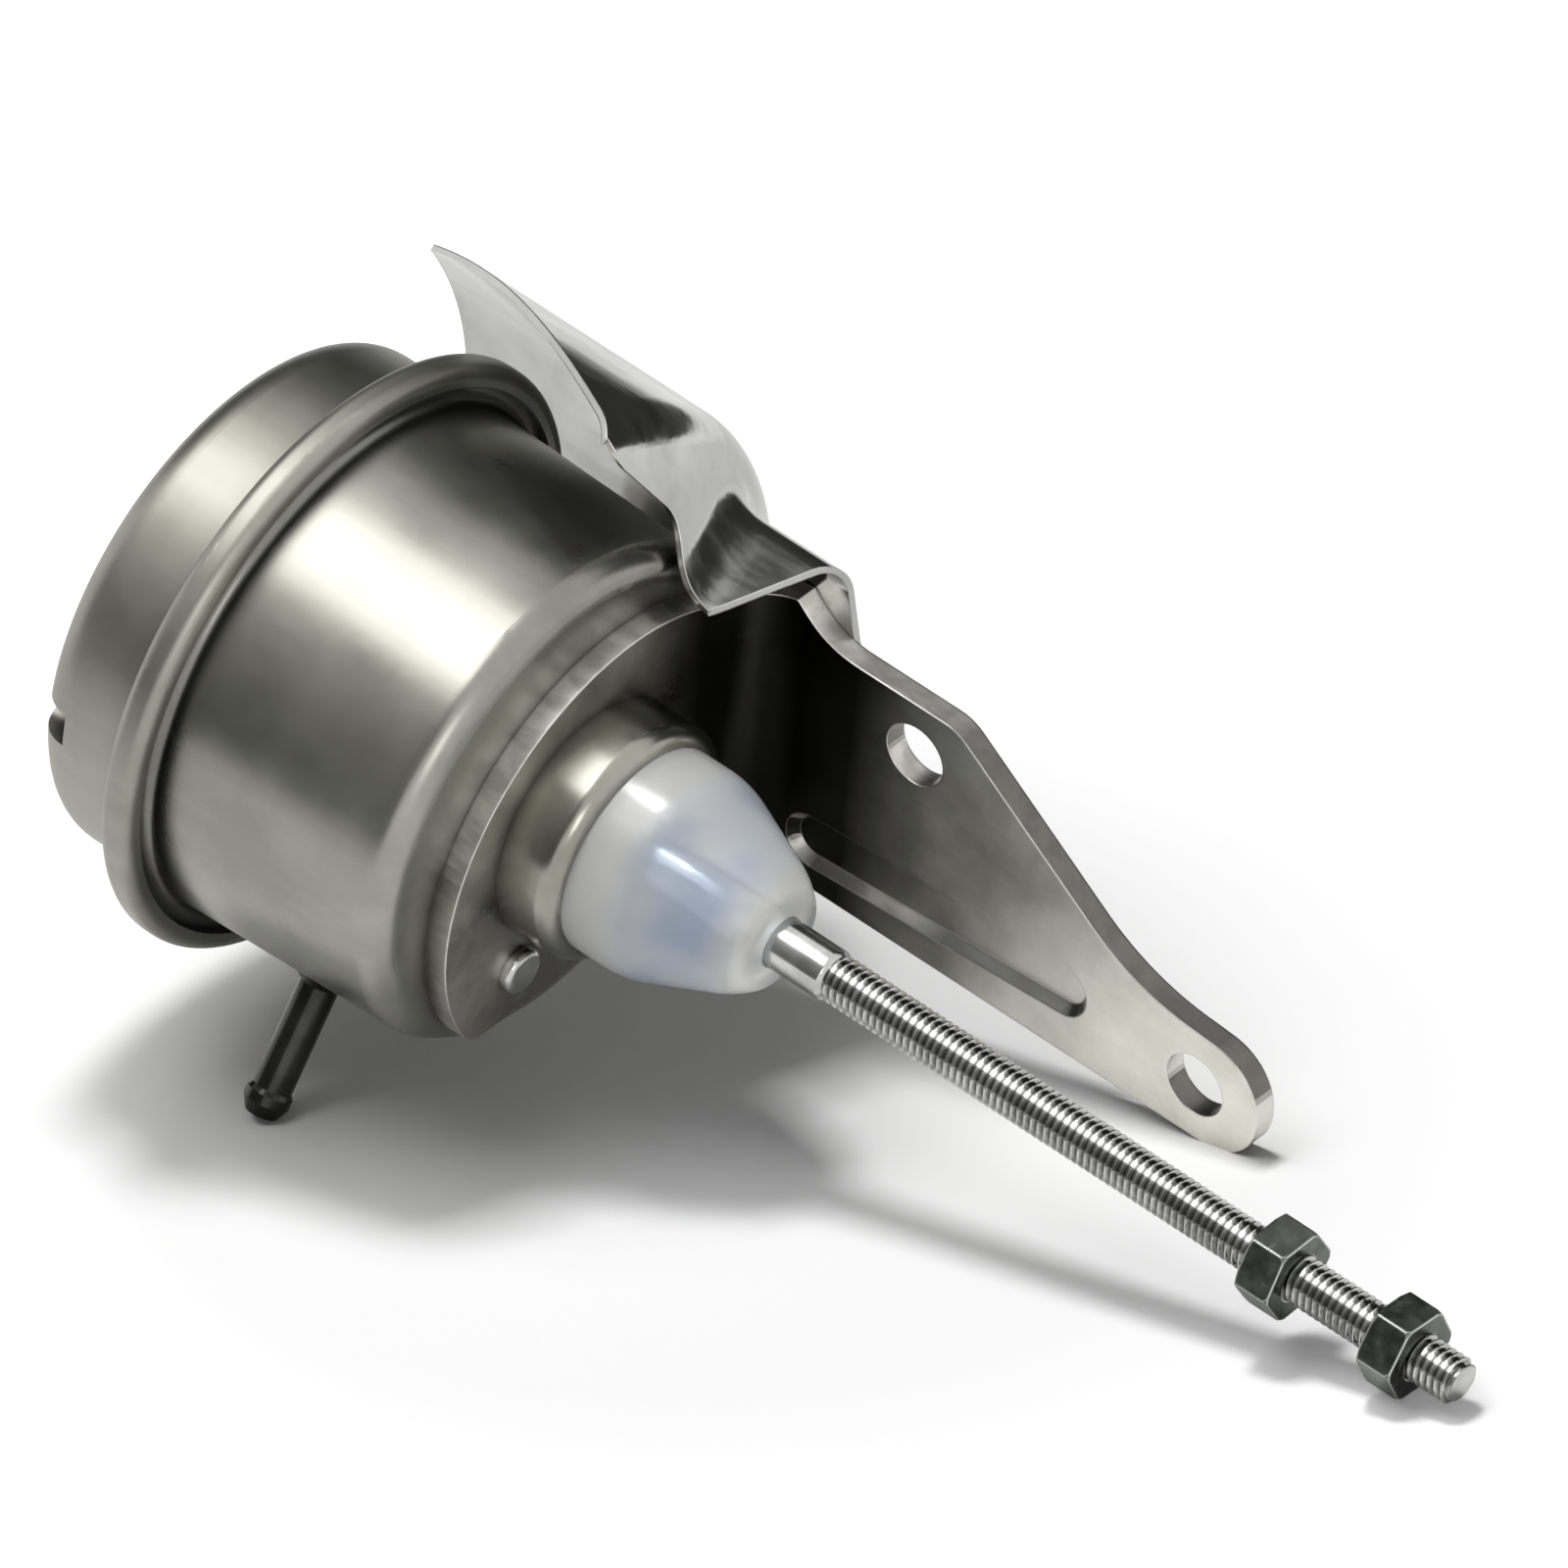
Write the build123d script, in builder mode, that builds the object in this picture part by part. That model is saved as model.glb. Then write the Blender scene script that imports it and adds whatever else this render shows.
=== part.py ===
from build123d import *
import math
import os

# Wastegate actuator: a crimped pressed-steel canister, a sprung diaphragm with a threaded
# rod, a folded mounting bracket and a curved heat shield.
# X runs along the rod towards its tip, Y towards the bracket arm, Z up, in millimetres.
# The pieces are drawn round the rod's axis, with zero in the plane where the canister's halves
# meet. In the files the origin is midway between the centres of the arm's two holes.

os.makedirs("parts", exist_ok=True)

# Driving dimensions of the canister
sheet_t = 1.2                   # pressed steel of the canister
can_root_r = 33.2               # outside radius of the front can beside the rim
can_nose_r = can_root_r - 1.0   # and at its front
can_front = 35.0                # front face of the front can
can_corner_r = 3.4              # rounded corner of the can's front
cover_r = can_root_r - 0.4      # outside radius of the rear cover
cover_back = -16.8              # back face of the rear cover
cover_corner_r = 4.5            # rounded corner of its back
rim_r = can_root_r + 5.1        # outside radius of the crimped rim
rim_lip_r = rim_r - 2.6         # where the crimped lip ends
rim_bend_r = 1.7
flange_root_r = 1.4             # bend from a wall into its flange
dent_r = 2.3                    # key dent in the corner of the rear cover
dent_depth = 5.2
dent_length = 4.6
dent_angle = 178.0

# Diaphragm, piston and spring
rubber_t = 0.8
piston_t = 1.0
piston_r = can_root_r - 5.7
piston_length = 13.8
backing_r = piston_r - 2.0
washer_r = 9.0
bench_gap = 0.1          # between the piston and the clamped diaphragm
cover_gap = 7.0          # between the backing plate and the rear cover
piston_bend_r = 1.6
rubber_bend_r = 1.2
roll_bend_r = 1.0
roll_gap = 0.6           # between the rolled diaphragm and the can
wire_d = 2.6
coil_r = piston_r - 2.9
coil_turns = 5.5
seat_t = 0.9
seat_half_w = 1.6

# Rod, thread and nuts
rod_r = 3.2
thread_r = 2.95
thread_start = 75.4
rod_tip = 169.3
rod_tip_chamfer = 0.8
stud_r = 2.5             # rear end of the rod, riveted over the backing plate
stud_head_r = 4.5
stud_head_t = 1.0
nut_across_flats = 10.0
nut_t = 5.0
adjuster_x = 140.0
locknut_x = 158.0
adjuster_turn = 2.0      # angle of each nut's corners round the thread
locknut_turn = -4.0
nut_chamfer = 0.6

# Neck: collar, guide bush, seal and boot
fit_gap = 0.05
spigot_r = 12.0
collar_r = 15.4
collar_length = 8.2
collar_wall = 1.05
collar_edge_r = 2.4
collar_root_r = 1.8
clinch_r = 14.6
clinch_t = 1.1
bush_back = 31.0
bush_flange_r = 13.0
bush_flange_t = 1.0
seal_r = 10.0
seal_t = 2.2
retainer_t = 1.0
boot_r = 13.3
boot_bead_r = 14.3
boot_bead_t = 1.6
boot_wall = 1.8
boot_shoulder = 53.0
boot_cone_end = 65.0
boot_nose_r = 8.4
boot_front = 67.8
boot_face_r = 6.2
boot_front_t = 2.4
boot_soft_r = 2.0
retainer_gap = 0.6       # between the retainer and the rod

# Bracket, folded from one plate
plate_t = 3.0
arm_y = can_nose_r - 2.2       # face of the arm that looks at the rod
plate_arc_r = can_nose_r - 2.9
plate_arc_y = arm_y - 23.9
plate_arc_z = -6.7
plate_bottom = plate_arc_z - 17.8
plate_corner_r = 4.0
fold_r = 6.0             # inside radius of the fold
arm_hole_r = 4.15
arm_hole_near = (61.4, 5.0)
arm_hole_far = (105.6, plate_bottom + 7.7)
arm_waist_x = 52.0       # where the arm's top edge has come down behind the fold
arm_waist_z = 12.5
arm_shoulder_x = 67.0
arm_neck_x = 95.5
arm_neck_z = -8.2
arm_end_drop = 1.6       # how far the arm's top edge falls from its neck to its end
arm_shoulder_r = 6.0
arm_neck_r = 30.0
arm_end_r = 7.2
arm_end_margin = 9.3     # from the far hole's centre to the arm's end
bead_half_w = 3.8
bead_depth = 1.3
bead_wall = 1.2
bead_draft = 40.0
bead_start = (48.0, plate_bottom + 6.9)
bead_end = (85.4, plate_bottom + 9.2)

# Rivets that hold the bracket to the can
rivet_r = 2.0
rivet_head_r = 2.9
rivet_head_t = 1.5
rivet_tail_t = 0.9
rivet_circle_r = collar_r + 4.6
rivet_angle = 240.0
rivet_spacing = 90.0     # angle between the two rivets

# Hose fitting on the side of the front can
port_x = 16.3
port_angle = 238.6
port_r = 2.4
port_bore_r = 1.4
port_tip = can_root_r + 18.0
port_bead_r = 2.8
port_bead_back = 3.4
port_bead_w = 1.8
port_tip_r = 2.0
port_boss_r = 4.4
port_boss_t = 1.6
port_stub = 1.2          # how far the tube stands inside the can's wall

# Heat shield: a thin sheet bent round the can and stepped down onto the bracket's corner
shield_t = 0.8
shield_r = rim_r + 7.7
shield_back = -24.0
shield_turn = 26.8       # where the sheet turns in round the can's front
shield_cone_front = 42.0 # where the turned-in cone would reach the bracket's top corner
shield_front = 56.0
shield_rim_bend = 6.5
shield_foot_bend = 7.0
shield_nose_start = 20.0 # the nose's box starts inside the round part
shield_nose_corner = 4.5
shield_top_gap = 0.2     # between the bracket's top edge and the shield
shield_face_angle = 40.5 # direction that the blank's outline is seen from
shield_edge = ((-21.4, -8.0), (1.7, 9.4), (19.4, 21.0), (34.0, 28.6))
shield_lip = (41.2, 7.7)
shield_lip_end = (46.8, -5.0)
shield_tab_x = 50.0
shield_tab_high = -15.0
shield_tab_low = -26.0
shield_tail = (-18.5, -36.0)
shield_heel = (30.0, -29.0)
shield_blank_corner = 1.0
shield_side_high = (12.0, 40.4)
shield_side_mid = (18.4, 31.1)
shield_side_low = (15.3, 24.4)
shield_side_bend = 4.0

# Places that follow from the sizes above
rim_half_t = (3*sheet_t + rubber_t)/2
can_flange_x = rim_half_t - sheet_t
can_flange_r = rim_r - rim_bend_r
rubber_x = -rim_half_t + sheet_t
can_wall_x = can_front - sheet_t
plate_x = can_front
plate_face = plate_x + plate_t
plate_top = plate_arc_z + plate_arc_r
arm_back = arm_y + plate_t
backing_x = cover_back + sheet_t + cover_gap
disc_x = backing_x + piston_t + bench_gap
piston_x = disc_x + rubber_t + bench_gap
washer_x = piston_x + piston_t
shoulder_x = washer_x + piston_t
collar_floor = plate_face + sheet_t
collar_end = plate_face + collar_length
bush_face = collar_floor + bush_flange_t
seal_face = bush_face + seal_t
retainer_face = seal_face + retainer_t
boot_bead_end = retainer_face + boot_bead_t
coil_back = washer_x + bench_gap
coil_front = can_wall_x - seat_t
port_y = math.cos(math.radians(port_angle))
port_z = math.sin(math.radians(port_angle))
can_taper = (can_root_r - can_nose_r)/(can_front - can_flange_x)
port_wall_r = can_root_r - can_taper*(port_x - can_flange_x)


def band(x_low, x_high, r_low, r_high):
    """A ring's section: a rectangle between two stations and two radii, for revolving round X."""
    Polygon((x_low, r_low), (x_high, r_low), (x_high, r_high), (x_low, r_high), align=None)


# Rear cover: a drawn cup whose rim is rolled over the can's flange. The wall behind its dent is
# made first, inside the cup's outline.
dent_width = 4*dent_depth
dent_centre_r = cover_r - dent_depth + dent_width/2
dent_centre = (
    dent_centre_r*math.cos(math.radians(dent_angle)),
    dent_centre_r*math.sin(math.radians(dent_angle)),
)
with BuildPart() as rear_cover:
    with BuildSketch():
        with BuildLine():
            cup = FilletPolyline(
                (cover_back, 0),
                (cover_back, cover_r),
                (-rim_half_t, cover_r),
                radius=cover_corner_r,
            )
            Polyline(cup @ 1, (-rim_half_t, 0), cup @ 0)
        make_face()
    revolve(axis=Axis.X)
    with BuildSketch(Plane.YZ.offset(cover_back)):
        with Locations(dent_centre):
            SlotOverall(dent_width + 2*sheet_t, 2*(dent_r + sheet_t), rotation=dent_angle)
    extrude(amount=dent_length + sheet_t, mode=Mode.INTERSECT)
    with BuildSketch():
        with BuildLine():
            FilletPolyline(
                (cover_back, 0),
                (cover_back, cover_r),
                (-rim_half_t, cover_r),
                (-rim_half_t, rim_r),
                (rim_half_t, rim_r),
                (rim_half_t, rim_lip_r),
                radius=(cover_corner_r, flange_root_r, rim_bend_r, rim_bend_r),
            )
            offset(amount=sheet_t, side=Side.RIGHT)
        make_face()
    revolve(axis=Axis.X)
    with BuildSketch(Plane.YZ.offset(cover_back)):
        with Locations(dent_centre):
            SlotOverall(dent_width, 2*dent_r, rotation=dent_angle)
    extrude(amount=dent_length, mode=Mode.SUBTRACT)
rear_cover.part.label = "rear_cover"

# Front can: a drawn cup with an outward flange, open in the middle for the collar
port_plane = Plane(origin=(port_x, 0, 0), x_dir=(1, 0, 0), z_dir=(0, port_y, port_z))
with BuildPart() as front_can:
    with BuildSketch():
        with BuildLine():
            FilletPolyline(
                (can_flange_x, can_flange_r),
                (can_flange_x, can_root_r),
                (can_front, can_nose_r),
                (can_front, spigot_r + fit_gap),
                radius=(flange_root_r, can_corner_r),
            )
            offset(amount=sheet_t, side=Side.RIGHT)
        make_face()
    revolve(axis=Axis.X)
    with BuildSketch(Plane.YZ.offset(can_wall_x)):
        with PolarLocations(rivet_circle_r, 2, start_angle=rivet_angle, angular_range=2*rivet_spacing):
            Circle(rivet_r + fit_gap)
    extrude(amount=sheet_t, mode=Mode.SUBTRACT)
    with BuildSketch(port_plane):
        Circle(port_r + fit_gap)
    extrude(amount=port_tip, mode=Mode.SUBTRACT)
front_can.part.label = "front_can"

# Hose fitting: a tube with a beaded tip, brazed into the side of the can
port_root = port_wall_r - sheet_t - port_stub
port_bead_x = port_tip - port_bead_back
port_axis = Axis(port_plane.origin, port_plane.z_dir)
port_section = Plane(
    origin=port_plane.origin,
    x_dir=port_plane.z_dir,
    z_dir=port_plane.z_dir.cross(port_plane.x_dir),
)
with BuildPart() as hose_fitting:
    with BuildSketch(port_section):
        Polygon(
            (port_root, 0),
            (port_root, port_boss_r),
            (port_wall_r, port_boss_r),
            (port_wall_r + port_boss_t, port_r),
            (port_wall_r + port_boss_t, 0),
            align=None,
        )
    revolve(axis=port_axis)
    with BuildSketch():
        Polygon(
            (can_flange_x, 0),
            (can_front, 0),
            (can_front, can_nose_r),
            (can_flange_x, can_root_r),
            align=None,
        )
    revolve(axis=Axis.X, mode=Mode.SUBTRACT)
    with BuildSketch(port_section):
        with BuildLine():
            Polyline(
                (port_root, port_bore_r),
                (port_root, port_r),
                (port_bead_x, port_r),
                (port_bead_x + port_bead_w/3, port_bead_r),
                (port_bead_x + port_bead_w, port_bead_r),
                (port_tip, port_tip_r),
                (port_tip, port_bore_r),
                close=True,
            )
        make_face()
    revolve(axis=port_axis)
    with BuildSketch(port_plane.offset(port_root)):
        Circle(port_bore_r)
    extrude(amount=port_tip, mode=Mode.SUBTRACT)
hose_fitting.part.label = "hose_fitting"

# Diaphragm: a rubber sheet, clamped in the rim and rolled round the piston
side_r = piston_r + bench_gap + rubber_t
roll_r = can_root_r - sheet_t - roll_gap
roll_front = disc_x + piston_length - roll_gap
with BuildPart() as diaphragm:
    with BuildSketch():
        with BuildLine():
            FilletPolyline(
                (disc_x, stud_r + fit_gap),
                (disc_x, side_r),
                (roll_front, side_r),
                (roll_front, roll_r - rubber_t),
                (rubber_x, roll_r - rubber_t),
                (rubber_x, can_flange_r),
                radius=(rubber_bend_r, roll_bend_r, roll_bend_r, rubber_bend_r),
            )
            offset(amount=rubber_t, side=Side.RIGHT)
        make_face()
    revolve(axis=Axis.X)
diaphragm.part.label = "diaphragm"

# Piston: a drawn cup in front of the diaphragm, with the spring inside it
with BuildPart() as piston_cup:
    with BuildSketch():
        with BuildLine():
            FilletPolyline(
                (piston_x, stud_r + fit_gap),
                (piston_x, piston_r),
                (piston_x + piston_length, piston_r),
                radius=piston_bend_r,
            )
            offset(amount=piston_t, side=Side.RIGHT)
        make_face()
    revolve(axis=Axis.X)
piston_cup.part.label = "piston_cup"

# Backing plate: a plain disc behind the diaphragm
with BuildPart() as backing_plate:
    with BuildSketch() as disc_section:
        band(backing_x, backing_x + piston_t, stud_r + fit_gap, backing_r)
        fillet(disc_section.vertices().group_by(Axis.Y)[-1].sort_by(Axis.X)[0], piston_t/2)
    revolve(axis=Axis.X)
backing_plate.part.label = "backing_plate"

# Washer between the piston and the rod's shoulder
with BuildPart() as piston_washer:
    with BuildSketch():
        band(washer_x, shoulder_x, stud_r + fit_gap, washer_r)
    revolve(axis=Axis.X)
piston_washer.part.label = "piston_washer"

# Return spring: its ends are ground flat against the piston and the seat
coil_length = coil_front - coil_back
with BuildPart() as return_spring:
    with BuildLine() as coil:
        Helix(
            pitch=coil_length/coil_turns,
            height=coil_length,
            radius=coil_r,
            center=(coil_back, 0, 0),
            direction=(1, 0, 0),
        )
    with BuildSketch(Plane(origin=coil.line @ 0, z_dir=coil.line % 0)):
        Circle(wire_d/2)
    sweep(is_frenet=True)
    with BuildSketch(Plane.YZ.offset(coil_back)):
        Circle(coil_r + wire_d)
    extrude(amount=coil_length, mode=Mode.INTERSECT)
return_spring.part.label = "return_spring"

# Spring seat: a ring on the inside of the can's front wall
with BuildPart() as spring_seat:
    with BuildSketch():
        band(coil_front, can_wall_x, coil_r - seat_half_w, coil_r + seat_half_w)
    revolve(axis=Axis.X)
spring_seat.part.label = "spring_seat"

# Rod: riveted over at the back, smooth through the bush, then threaded to its tip
with BuildPart() as actuator_rod:
    with BuildSketch():
        band(backing_x - stud_head_t, backing_x, 0, stud_head_r)
        band(backing_x, shoulder_x, 0, stud_r)
        band(shoulder_x, thread_start, 0, rod_r)
        band(thread_start, rod_tip, 0, thread_r)
    revolve(axis=Axis.X)
    chamfer(actuator_rod.faces().sort_by(Axis.X)[-1].edges(), rod_tip_chamfer)
    fillet(actuator_rod.faces().sort_by(Axis.X)[0].edges(), stud_head_t/2)
actuator_rod.part.label = "actuator_rod"


def hex_nut(back_x, turn):
    """A hexagon nut on the thread, its corners chamfered on both faces."""
    corner_r = nut_across_flats/math.sqrt(3)
    with BuildPart() as nut:
        with BuildSketch(Plane.YZ.offset(back_x)):
            RegularPolygon(corner_r, 6, rotation=turn)
            Circle(thread_r + fit_gap, mode=Mode.SUBTRACT)
        extrude(amount=nut_t)
        with BuildSketch() as envelope:
            band(back_x, back_x + nut_t, 0, corner_r)
            chamfer(envelope.vertices().group_by(Axis.Y)[-1], nut_chamfer/2, nut_chamfer)
        revolve(axis=Axis.X, mode=Mode.INTERSECT)
    return nut.part


adjuster_nut = hex_nut(adjuster_x, adjuster_turn)
adjuster_nut.label = "adjuster_nut"
lock_nut = hex_nut(locknut_x, locknut_turn)
lock_nut.label = "lock_nut"

# Collar: a rounded neck with a spigot that clinches the bracket to the can
with BuildPart() as collar:
    with BuildSketch() as collar_section:
        band(plate_face, collar_end, spigot_r, collar_r)
        outer_corners = collar_section.vertices().group_by(Axis.Y)[-1].sort_by(Axis.X)
        fillet(outer_corners[-1], collar_edge_r)
        fillet(outer_corners[0], collar_root_r)
        band(can_wall_x - clinch_t, collar_floor, spigot_r - sheet_t, spigot_r)
        band(can_wall_x - clinch_t, can_wall_x, spigot_r - sheet_t, clinch_r)
        with BuildSketch(mode=Mode.SUBTRACT):
            band(collar_floor, boot_bead_end, 0, collar_r - collar_wall)
            band(boot_bead_end, collar_end, 0, boot_r + fit_gap)
    revolve(axis=Axis.X)
collar.part.label = "collar"

# Guide bush: a flanged bush pressed into the collar
with BuildPart() as guide_bush:
    with BuildSketch():
        band(bush_back, collar_floor, rod_r + fit_gap, spigot_r - sheet_t)
        band(collar_floor, bush_face, rod_r + fit_gap, bush_flange_r)
    revolve(axis=Axis.X)
guide_bush.part.label = "guide_bush"

# Seal ring in front of the bush
with BuildPart() as rod_seal:
    with BuildSketch() as seal_section:
        band(bush_face, seal_face, rod_r + fit_gap, seal_r)
        fillet(seal_section.vertices().group_by(Axis.Y)[-1], seal_t/4)
    revolve(axis=Axis.X)
rod_seal.part.label = "rod_seal"

# Retainer: a washer that closes the seal's space and backs the boot
with BuildPart() as seal_retainer:
    with BuildSketch():
        band(seal_face, retainer_face, rod_r + retainer_gap, collar_r - collar_wall)
    revolve(axis=Axis.X)
seal_retainer.part.label = "seal_retainer"

# Boot: a hollow silicone cone, held by its bead in the collar
with BuildPart() as boot:
    with BuildSketch():
        with BuildLine():
            FilletPolyline(
                (boot_bead_end, 0),
                (boot_bead_end, boot_r),
                (boot_shoulder, boot_r),
                (boot_cone_end, boot_nose_r),
                (boot_front, boot_face_r),
                (boot_front, 0),
                radius=(fit_gap, boot_soft_r, boot_soft_r, boot_soft_r/2),
            )
            Line((boot_front, 0), (boot_bead_end, 0))
        make_face()
        band(retainer_face, boot_bead_end, 0, boot_bead_r)
        with BuildSketch(mode=Mode.SUBTRACT):
            Polygon(
                (retainer_face, 0),
                (retainer_face, boot_r - boot_wall),
                (boot_shoulder, boot_r - boot_wall),
                (boot_cone_end, boot_nose_r - boot_wall),
                (boot_front - boot_front_t, boot_face_r - boot_wall),
                (boot_front - boot_front_t, 0),
                align=None,
            )
            band(retainer_face, boot_front, 0, rod_r + fit_gap)
    revolve(axis=Axis.X)
boot.part.label = "boot"

# Bracket: one plate folded round the can's side, its base and arm each cut to outline
arm_end_x = arm_hole_far[0] + arm_end_margin
bracket_height = plate_top - plate_bottom
arm_plane = Plane(origin=(0, arm_back, 0), x_dir=(1, 0, 0), z_dir=(0, -1, 0))
bead_middle = ((bead_start[0] + bead_end[0])/2, (bead_start[1] + bead_end[1])/2)
bead_turn = math.degrees(math.atan2(bead_end[1] - bead_start[1], bead_end[0] - bead_start[0]))
with BuildPart() as bracket:
    with BuildSketch(Plane.XY.offset(plate_bottom)):
        with BuildLine():
            FilletPolyline(
                (plate_face, plate_arc_y - plate_arc_r),
                (plate_face, arm_y),
                (arm_end_x, arm_y),
                radius=fold_r,
            )
            offset(amount=plate_t, side=Side.LEFT)
        make_face()
    extrude(amount=bracket_height)
    with BuildSketch(Plane.YZ.offset(plate_x)) as base_outline:
        with Locations((plate_arc_y, plate_arc_z)):
            Circle(plate_arc_r)
            Rectangle(arm_back, bracket_height, align=(Align.MIN, Align.CENTER))
        with Locations((plate_arc_y, plate_bottom)):
            Rectangle(4*plate_arc_r, bracket_height, align=(Align.CENTER, Align.MIN), mode=Mode.INTERSECT)
        fillet(base_outline.vertices().group_by(Axis.Z)[0].sort_by(Axis.Y)[0], plate_corner_r)
    extrude(amount=arm_end_x, mode=Mode.INTERSECT)
    with BuildSketch(arm_plane):
        with BuildLine():
            waist = Spline(
                (plate_face, plate_top),
                (arm_waist_x, arm_waist_z),
                tangents=((1, -1), (1, 0)),
            )
            FilletPolyline(
                waist @ 1,
                (arm_shoulder_x, arm_waist_z),
                (arm_neck_x, arm_neck_z),
                (arm_end_x, arm_neck_z - arm_end_drop),
                (arm_end_x, plate_bottom),
                (plate_x, plate_bottom),
                radius=(arm_shoulder_r, arm_neck_r, arm_end_r, arm_end_r),
            )
            Polyline((plate_x, plate_bottom), (plate_x, plate_top), waist @ 0)
        make_face()
    extrude(amount=arm_back + plate_arc_r, mode=Mode.INTERSECT)
    with BuildSketch(Plane.YZ.offset(plate_x)):
        Circle(spigot_r + fit_gap)
        with PolarLocations(rivet_circle_r, 2, start_angle=rivet_angle, angular_range=2*rivet_spacing):
            Circle(rivet_r + fit_gap)
    extrude(amount=plate_t, mode=Mode.SUBTRACT)
    with BuildSketch(arm_plane):
        with Locations(arm_hole_near, arm_hole_far):
            Circle(arm_hole_r)
    extrude(amount=plate_t, mode=Mode.SUBTRACT)
    with BuildSketch(Plane(origin=(0, arm_back, 0), x_dir=(1, 0, 0), z_dir=(0, 1, 0))):
        with Locations((bead_middle[0], -bead_middle[1])):
            SlotCenterToCenter(
                math.dist(bead_start, bead_end),
                2*(bead_half_w + bead_wall),
                rotation=-bead_turn,
            )
    extrude(amount=bead_depth, taper=bead_draft)
    with BuildSketch(Plane(origin=(0, arm_y, 0), x_dir=(1, 0, 0), z_dir=(0, 1, 0))):
        with Locations((bead_middle[0], -bead_middle[1])):
            SlotCenterToCenter(math.dist(bead_start, bead_end), 2*bead_half_w, rotation=-bead_turn)
    extrude(amount=bead_depth, taper=bead_draft, mode=Mode.SUBTRACT)
bracket.part.label = "bracket"


def plate_rivet(turn):
    """A rivet through the bracket's base and the can's front wall."""
    with BuildPart() as rivet:
        with BuildSketch():
            band(can_wall_x - rivet_tail_t, can_wall_x, 0, rivet_head_r)
            band(can_wall_x, plate_face, 0, rivet_r)
            band(plate_face, plate_face + rivet_head_t, 0, rivet_head_r)
        revolve(axis=Axis.X)
        fillet(rivet.edges().filter_by(GeomType.CIRCLE).sort_by(Axis.X)[-1], rivet_head_t/2)
    y = rivet_circle_r*math.cos(math.radians(turn))
    z = rivet_circle_r*math.sin(math.radians(turn))
    return Pos(0, y, z)*rivet.part


plate_rivet_left = plate_rivet(rivet_angle)
plate_rivet_left.label = "plate_rivet_left"
plate_rivet_right = plate_rivet(rivet_angle + rivet_spacing)
plate_rivet_right.label = "plate_rivet_right"


def shield_form(inset):
    """The solid that the shield is bent over, or its skin's outside where the inset is zero."""
    top = plate_top + shield_top_gap + shield_t - inset
    side = arm_back + shield_t - inset
    sheet_r = shield_r - inset
    cone_slope = (shield_cone_front - shield_turn)/(shield_r - plate_top)
    cone_shift = inset*math.hypot(1, cone_slope)
    with BuildPart() as form:
        with BuildSketch():
            Polygon(
                (shield_back - inset, 0),
                (shield_back - inset, sheet_r),
                (shield_turn - cone_shift + inset*cone_slope, sheet_r),
                (shield_cone_front - cone_shift, plate_top),
                (shield_cone_front - cone_shift, 0),
                align=None,
            )
        revolve(axis=Axis.X)
        with BuildSketch(Plane.YZ.offset(shield_nose_start)):
            RectangleRounded(2*side, 2*top, shield_nose_corner - inset)
        extrude(amount=shield_front - shield_nose_start)
        foot = form.edges().filter_by(GeomType.LINE, reverse=True).filter_by(GeomType.CIRCLE, reverse=True)
        fillet(foot, shield_foot_bend + inset)
        rim = form.edges().filter_by(GeomType.CIRCLE).sort_by(SortBy.RADIUS)[-2:].sort_by(Axis.X)[-1]
        fillet(rim, shield_rim_bend - inset)
    return form.part


# Heat shield: the skin between two forms, cut to the blank's outline and to its near side
face_y = math.cos(math.radians(shield_face_angle))
face_z = math.sin(math.radians(shield_face_angle))
outline_plane = Plane(origin=(0, 0, 0), x_dir=(1, 0, 0), z_dir=(0, -face_y, -face_z))
with BuildPart() as heat_shield:
    add(shield_form(0))
    add(shield_form(shield_t), mode=Mode.SUBTRACT)
    with BuildSketch(outline_plane):
        with BuildLine():
            edge = Spline(*shield_edge)
            FilletPolyline(
                edge @ 1,
                (shield_lip[0], shield_edge[-1][1]),
                shield_lip,
                shield_lip_end,
                (shield_tab_x, shield_tab_high),
                (shield_tab_x, shield_tab_low),
                shield_heel,
                shield_tail,
                edge @ 0,
                radius=shield_blank_corner,
            )
        make_face()
    extrude(amount=-2*shield_r, mode=Mode.INTERSECT)
    with BuildSketch(Plane.YZ.offset(shield_turn)):
        with BuildLine():
            near_side = FilletPolyline(
                (shield_side_high[0], shield_r + shield_t),
                shield_side_high,
                shield_side_mid,
                shield_side_low,
                (shield_side_low[0], 0),
                radius=shield_side_bend,
            )
            Polyline(near_side @ 1, (-shield_r, 0), (-shield_r, shield_r + shield_t), near_side @ 0)
        make_face()
    extrude(amount=shield_front, mode=Mode.SUBTRACT)
heat_shield.part.label = "heat_shield"

# Each piece goes into a file of its own, placed from the middle of the arm's holes
origin_x = (arm_hole_near[0] + arm_hole_far[0])/2
origin_y = arm_y + plate_t/2
origin_z = (arm_hole_near[1] + arm_hole_far[1])/2
pieces = (
    rear_cover.part,
    front_can.part,
    hose_fitting.part,
    diaphragm.part,
    piston_cup.part,
    backing_plate.part,
    piston_washer.part,
    return_spring.part,
    spring_seat.part,
    actuator_rod.part,
    adjuster_nut,
    lock_nut,
    collar.part,
    guide_bush.part,
    rod_seal.part,
    seal_retainer.part,
    boot.part,
    bracket.part,
    plate_rivet_left,
    plate_rivet_right,
    heat_shield.part,
)
for piece in pieces:
    placed = Pos(-origin_x, -origin_y, -origin_z)*piece
    export_step(placed, "parts/" + piece.label + ".step")
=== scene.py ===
import math

import bpy
from mathutils import Matrix, Vector


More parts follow.
